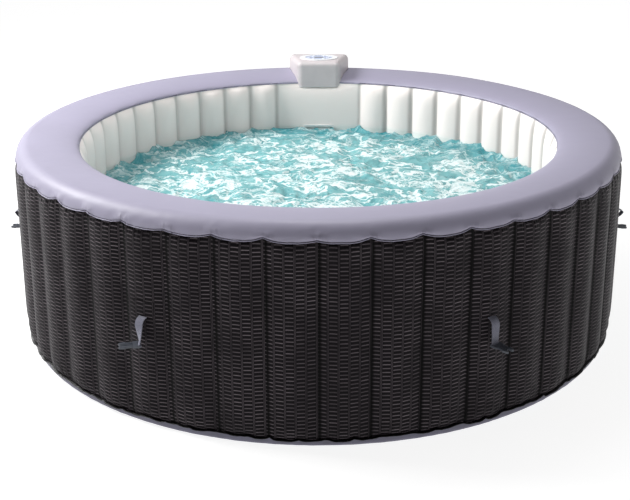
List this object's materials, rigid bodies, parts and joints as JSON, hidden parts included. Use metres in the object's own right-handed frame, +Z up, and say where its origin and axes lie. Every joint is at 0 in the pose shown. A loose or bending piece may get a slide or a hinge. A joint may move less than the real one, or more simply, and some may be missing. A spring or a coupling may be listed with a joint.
{
  "type": "inflatable hot tub",
  "caption": "Round inflatable hot tub with fluted walls, a crowned top ring, a control head over the rim, cover straps and a pump pack set into the wall.",
  "frame": {"origin": "middle of the tub on the ground, on the underside of the bottom sheet", "axes": "+Z up; the control head and pump pack are at the rear, +Y; -Y is the front; +X is to the right seen from the front"},
  "size_m": [2.1993, 2.0345, 0.7148],
  "materials": {
    "rattan_pvc": "satin",
    "ring_pvc": "satin",
    "liner_pvc": "satin",
    "base_pvc": "satin",
    "weld_pvc": "satin",
    "webbing": "matte",
    "buckle_plastic": "matte",
    "head_abs": "satin",
    "bezel_abs": "gloss",
    "pad_film": "satin",
    "display_lens": "gloss",
    "button_silicone": "matte",
    "circuit_board": "matte",
    "seal_rubber": "matte",
    "pack_abs": "matte",
    "pump_plastic": "matte",
    "motor_can": "satin",
    "stainless": "brushed",
    "fitting_abs": "satin",
    "filter_paper": "matte",
    "water": "gloss"
  },
  "bodies": {
    "tub": {"air_valve_body": "pump_plastic", "blower_housing": "pump_plastic", "blower_motor": "motor_can", "bottom_pan": "base_pvc", "bottom_weld": "weld_pvc", "bubble_ring": "liner_pvc", "control_board": "circuit_board", "cord_gland": "pump_plastic", "cover_screws": "stainless", "display_window": "display_lens", "drain_body": "fitting_abs", "filter_cartridge": "filter_paper", "floor_liner": "liner_pvc", "head_base": "head_abs", "head_cover": "head_abs", "head_gasket": "seal_rubber", "heater_element": "stainless", "heater_tube": "stainless", "inner_wall": "liner_pvc", "outer_wall": "rattan_pvc", "pack_hoses": "seal_rubber", "pack_housing": "pack_abs", "pad_bezel": "bezel_abs", "pad_plate": "pad_film", "pump_housing": "pump_plastic", "pump_motor": "motor_can", "rear_cover": "pack_abs", "ring_seams": "ring_pvc", "skimmer_frame": "fitting_abs", "strap_patches": "rattan_pvc", "suction_fitting": "fitting_abs", "top_ring": "ring_pvc", "wall_ribs": "liner_pvc", "well_fittings": "fitting_abs"},
    "button_power": {"button_power": "button_silicone"},
    "button_bubbles": {"button_bubbles": "button_silicone"},
    "button_heater": {"button_heater": "button_silicone"},
    "button_filter": {"button_filter": "button_silicone"},
    "button_cooler": {"button_cooler": "button_silicone"},
    "button_warmer": {"button_warmer": "button_silicone"},
    "strap_1": {"strap_1": "webbing"},
    "buckle_1": {"buckle_1": "buckle_plastic"},
    "strap_2": {"strap_2": "webbing"},
    "buckle_2": {"buckle_2": "buckle_plastic"},
    "strap_3": {"strap_3": "webbing"},
    "buckle_3": {"buckle_3": "buckle_plastic"},
    "strap_4": {"strap_4": "webbing"},
    "buckle_4": {"buckle_4": "buckle_plastic"},
    "strap_5": {"strap_5": "webbing"},
    "buckle_5": {"buckle_5": "buckle_plastic"},
    "strap_6": {"strap_6": "webbing"},
    "buckle_6": {"buckle_6": "buckle_plastic"},
    "filter_seal": {"filter_seal": "seal_rubber"},
    "filter_cap": {"filter_cap": "fitting_abs"},
    "air_valve_seal": {"air_valve_seal": "seal_rubber"},
    "air_valve_cap": {"air_valve_cap": "pump_plastic"},
    "drain_seal": {"drain_seal": "seal_rubber"},
    "drain_cap": {"drain_cap": "pump_plastic"},
    "pump_impeller": {"pump_impeller": "fitting_abs"},
    "blower_impeller": {"blower_impeller": "fitting_abs"}
  },
  "joints": [
    {"name": "button_power_press", "type": "slide", "parent": "tub", "child": "button_power", "axis": [0, 0, -1], "range_m": [0, 0.0012], "stiffness_N_per_m": 800},
    {"name": "button_bubbles_press", "type": "slide", "parent": "tub", "child": "button_bubbles", "axis": [0, 0, -1], "range_m": [0, 0.0012], "stiffness_N_per_m": 800},
    {"name": "button_heater_press", "type": "slide", "parent": "tub", "child": "button_heater", "axis": [0, 0, -1], "range_m": [0, 0.0012], "stiffness_N_per_m": 800},
    {"name": "button_filter_press", "type": "slide", "parent": "tub", "child": "button_filter", "axis": [0, 0, -1], "range_m": [0, 0.0012], "stiffness_N_per_m": 800},
    {"name": "button_cooler_press", "type": "slide", "parent": "tub", "child": "button_cooler", "axis": [0, 0, -1], "range_m": [0, 0.0012], "stiffness_N_per_m": 800},
    {"name": "button_warmer_press", "type": "slide", "parent": "tub", "child": "button_warmer", "axis": [0, 0, -1], "range_m": [0, 0.0012], "stiffness_N_per_m": 800},
    {"name": "strap_1_swing", "type": "hinge", "parent": "tub", "child": "strap_1", "pos_m": [-0.47956, -0.90318, 0.342], "axis": [-0.8832, 0.469, 0], "range_deg": [-3, 90], "stiffness_Nm_per_rad": 0.1, "springref_deg": 2.29},
    {"name": "buckle_1_swing", "type": "hinge", "parent": "strap_1", "child": "buckle_1", "pos_m": [-0.48847, -0.91996, 0.2675], "axis": [-0.2085, 0.978, 0], "range_deg": [-80, 45], "stiffness_Nm_per_rad": 0.1, "springref_deg": 1.43},
    {"name": "strap_2_swing", "type": "hinge", "parent": "tub", "child": "strap_2", "pos_m": [0.47956, -0.90318, 0.342], "axis": [-0.8832, -0.469, 0], "range_deg": [-3, 90], "stiffness_Nm_per_rad": 0.1, "springref_deg": 2.29},
    {"name": "buckle_2_swing", "type": "hinge", "parent": "strap_2", "child": "buckle_2", "pos_m": [0.48847, -0.91996, 0.2675], "axis": [-0.7664, -0.6423, 0], "range_deg": [-80, 45], "stiffness_Nm_per_rad": 0.1, "springref_deg": 1.43},
    {"name": "strap_3_swing", "type": "hinge", "parent": "tub", "child": "strap_3", "pos_m": [-1.02204, 0.03374, 0.342], "axis": [0.033, 0.9995, 0], "range_deg": [-3, 90], "stiffness_Nm_per_rad": 0.1, "springref_deg": 2.29},
    {"name": "buckle_3_swing", "type": "hinge", "parent": "strap_3", "child": "buckle_3", "pos_m": [-1.04103, 0.03436, 0.2675], "axis": [0.033, 0.9995, 0], "range_deg": [-80, 45], "stiffness_Nm_per_rad": 0.1, "springref_deg": 1.43},
    {"name": "strap_4_swing", "type": "hinge", "parent": "tub", "child": "strap_4", "pos_m": [1.02204, 0.03374, 0.342], "axis": [0.033, -0.9995, 0], "range_deg": [-3, 90], "stiffness_Nm_per_rad": 0.1, "springref_deg": 2.29},
    {"name": "buckle_4_swing", "type": "hinge", "parent": "strap_4", "child": "buckle_4", "pos_m": [1.04103, 0.03436, 0.2675], "axis": [-0.1755, -0.9845, 0], "range_deg": [-80, 45], "stiffness_Nm_per_rad": 0.1, "springref_deg": 1.43},
    {"name": "strap_5_swing", "type": "hinge", "parent": "tub", "child": "strap_5", "pos_m": [-0.41896, 0.93284, 0.342], "axis": [0.9122, 0.4097, 0], "range_deg": [-3, 90], "stiffness_Nm_per_rad": 0.1, "springref_deg": 2.29},
    {"name": "buckle_5_swing", "type": "hinge", "parent": "strap_5", "child": "buckle_5", "pos_m": [-0.42674, 0.95017, 0.2675], "axis": [0.9122, 0.4097, 0], "range_deg": [-80, 45], "stiffness_Nm_per_rad": 0.1, "springref_deg": 1.43},
    {"name": "strap_6_swing", "type": "hinge", "parent": "tub", "child": "strap_6", "pos_m": [0.41896, 0.93284, 0.342], "axis": [0.9122, -0.4097, 0], "range_deg": [-3, 90], "stiffness_Nm_per_rad": 0.1, "springref_deg": 2.29},
    {"name": "buckle_6_swing", "type": "hinge", "parent": "strap_6", "child": "buckle_6", "pos_m": [0.42674, 0.95017, 0.2675], "axis": [0.9122, -0.4097, 0], "range_deg": [-80, 45], "stiffness_Nm_per_rad": 0.1, "springref_deg": 1.43},
    {"name": "filter_cap_lift", "type": "slide", "parent": "tub", "child": "filter_seal", "axis": [0, -1, 0], "range_m": [0, 0.0091]},
    {"name": "filter_cap_turn", "type": "hinge", "parent": "filter_seal", "child": "filter_cap", "pos_m": [0.045, 0.79268, 0.16], "axis": [0, -1, 0], "range_deg": [0, 540]},
    {"name": "air_valve_lift", "type": "slide", "parent": "tub", "child": "air_valve_seal", "axis": [-0.2789, 0.9603, 0], "range_m": [0, 0.0091]},
    {"name": "air_valve_turn", "type": "hinge", "parent": "air_valve_seal", "child": "air_valve_cap", "pos_m": [-0.28449, 0.97952, 0.43], "axis": [-0.2789, 0.9603, 0], "range_deg": [0, 1080]},
    {"name": "drain_lift", "type": "slide", "parent": "tub", "child": "drain_seal", "axis": [0.2789, 0.9603, 0], "range_m": [0, 0.0091]},
    {"name": "drain_turn", "type": "hinge", "parent": "drain_seal", "child": "drain_cap", "pos_m": [0.28449, 0.97952, 0.07], "axis": [0.2789, 0.9603, 0], "range_deg": [0, 1080]},
    {"name": "pump_impeller_spin", "type": "hinge", "parent": "tub", "child": "pump_impeller", "pos_m": [0.045, 0.84132, 0.16], "axis": [0, 1, 0], "continuous": true},
    {"name": "blower_impeller_spin", "type": "hinge", "parent": "tub", "child": "blower_impeller", "pos_m": [0.03, 0.90232, 0.415], "axis": [0, 1, 0], "continuous": true}
  ],
  "couplings": [
    {"joint": "filter_cap_lift", "follows": "filter_cap_turn", "m_per_rad": 0.00095493},
    {"joint": "air_valve_lift", "follows": "air_valve_turn", "m_per_rad": 0.00047746},
    {"joint": "drain_lift", "follows": "drain_turn", "m_per_rad": 0.00047746}
  ]
}
